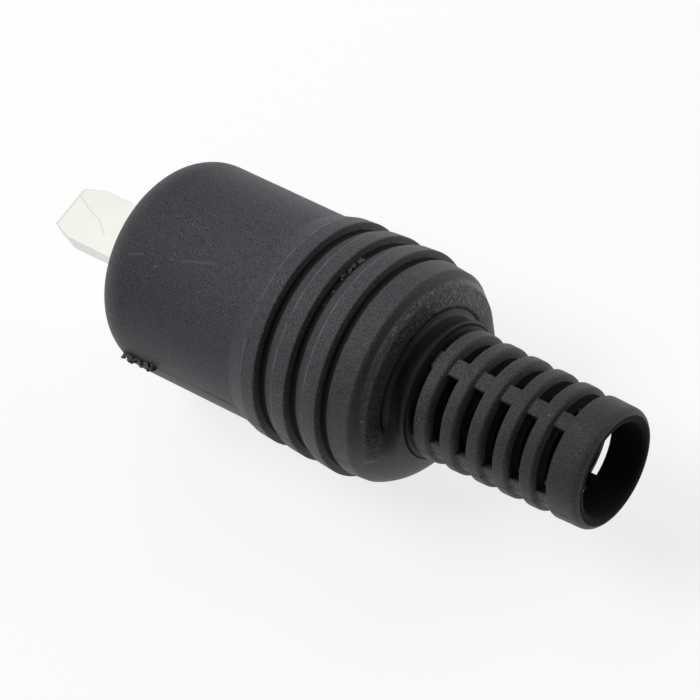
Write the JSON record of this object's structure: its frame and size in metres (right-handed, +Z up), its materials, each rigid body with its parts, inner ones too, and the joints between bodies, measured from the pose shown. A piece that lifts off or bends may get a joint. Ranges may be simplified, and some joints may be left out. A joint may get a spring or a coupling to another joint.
{
  "type": "din speaker connector",
  "caption": "Loudspeaker plug with a flat blade and a round pin, screw terminals on its insert, and a slip-on hood with grip rings and a slotted strain relief.",
  "frame": {"origin": "on the plug's axis, in the plane of the hood's front rim, in the middle of the blade", "axes": "+X along the plug's axis towards the cable, +Z up, away from the round pin, with the blade lying in the XY plane"},
  "size_m": [0.048, 0.0164, 0.0164],
  "materials": {
    "hood_plastic": "satin charcoal moulding with a fine grain",
    "insert_plastic": "smooth black moulding",
    "contact_metal": "nickel-plated, slightly warm",
    "screw_metal": "bright zinc plate"
  },
  "bodies": {
    "core": {"insert": "insert_plastic", "blade_contact": "contact_metal", "pin_contact": "contact_metal"},
    "hood": {"hood": "hood_plastic"},
    "blade_screw": {"blade_screw": "screw_metal"},
    "pin_screw": {"pin_screw": "screw_metal"}
  },
  "joints": [
    {"name": "hood_slide", "type": "slide", "parent": "core", "child": "hood", "axis": [1, 0, 0], "range_m": [0, 0.02]},
    {"name": "blade_screw_turn", "type": "hinge", "parent": "core", "child": "blade_screw", "pos_m": [0.0073, 0, 0.001], "axis": [0, 1, 0], "range_deg": [-450, 810]},
    {"name": "pin_screw_turn", "type": "hinge", "parent": "core", "child": "pin_screw", "pos_m": [0.0073, 0, -0.0033], "axis": [0, 1, 0], "range_deg": [-450, 810]}
  ]
}
